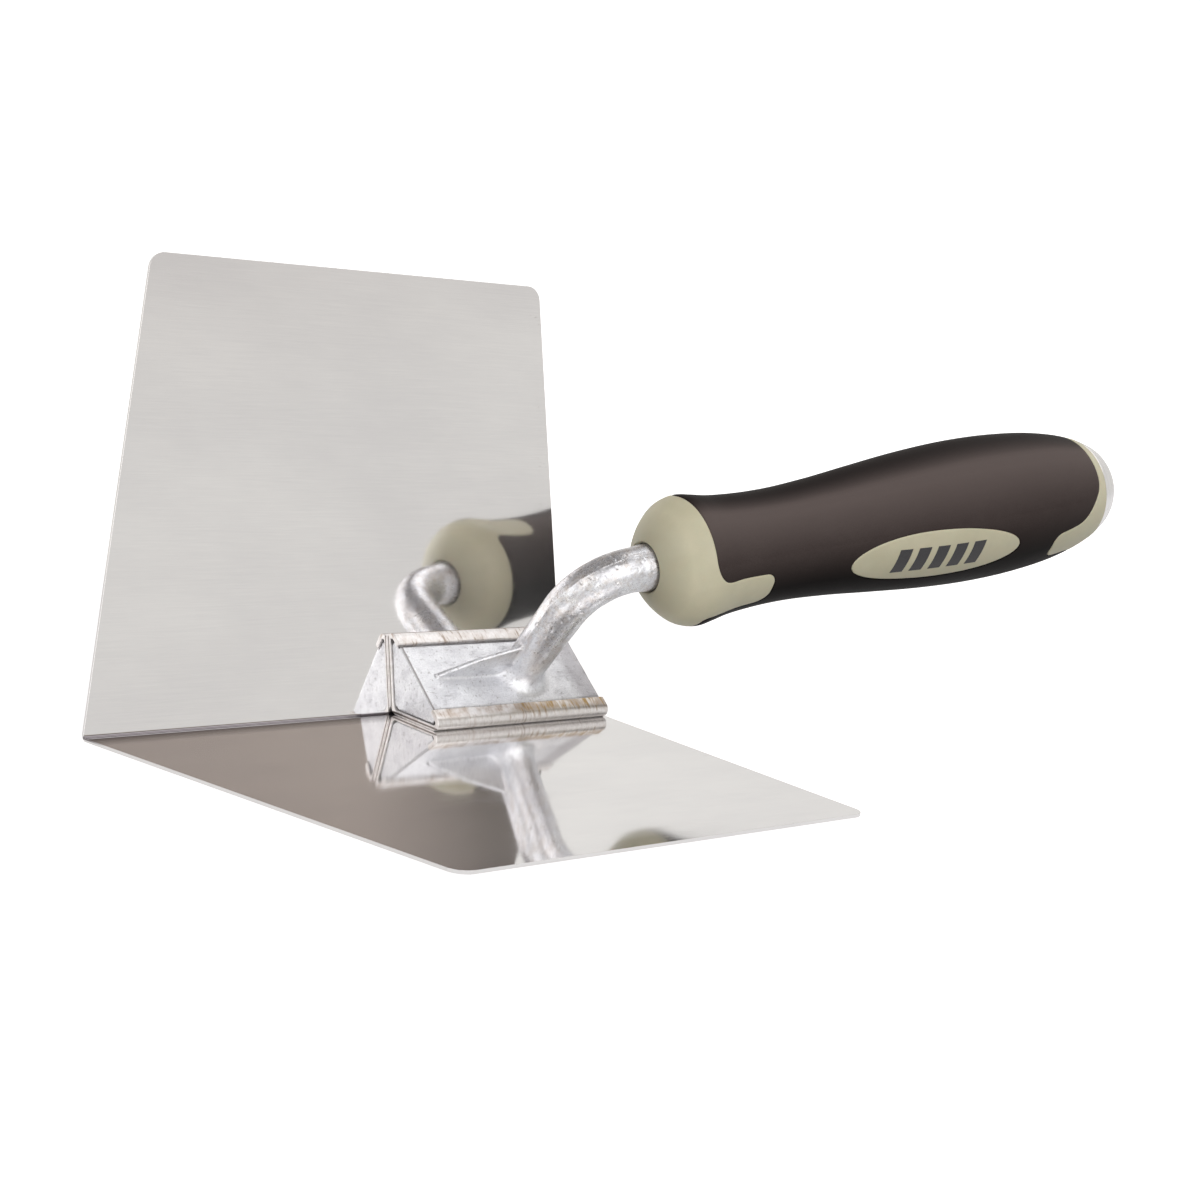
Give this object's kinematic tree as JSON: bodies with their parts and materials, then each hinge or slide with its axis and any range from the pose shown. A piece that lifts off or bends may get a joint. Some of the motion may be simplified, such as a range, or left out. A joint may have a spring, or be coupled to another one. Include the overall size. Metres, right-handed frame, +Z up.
{
  "type": "inside corner trowel",
  "caption": "Hand trowel for inside corners: a blade folded to just over a right angle, held by a rolled channel on a cast bent shank with a soft two-part grip.",
  "frame": {"origin": "middle of the lower wing's outer face, halfway along the blade", "axes": "+X along the fold towards the handle, +Y from the lower wing's free edge towards the fold, +Z up, away from the lower wing's outer face"},
  "size_m": [0.265, 0.1253, 0.099],
  "materials": {
    "blade_stainless": "polished",
    "channel_steel": "satin",
    "weld_steel": "matte",
    "cast_aluminium": "satin",
    "core_plastic": "satin",
    "soft_grip": "matte",
    "cap_metal": "polished"
  },
  "bodies": {
    "root": {"blade": "blade_stainless", "mounting_channel": "channel_steel", "spot_welds": "weld_steel", "shank_casting": "cast_aluminium", "handle_core": "core_plastic", "grip_overmould": "soft_grip", "end_cap": "cap_metal"}
  },
  "joints": []
}
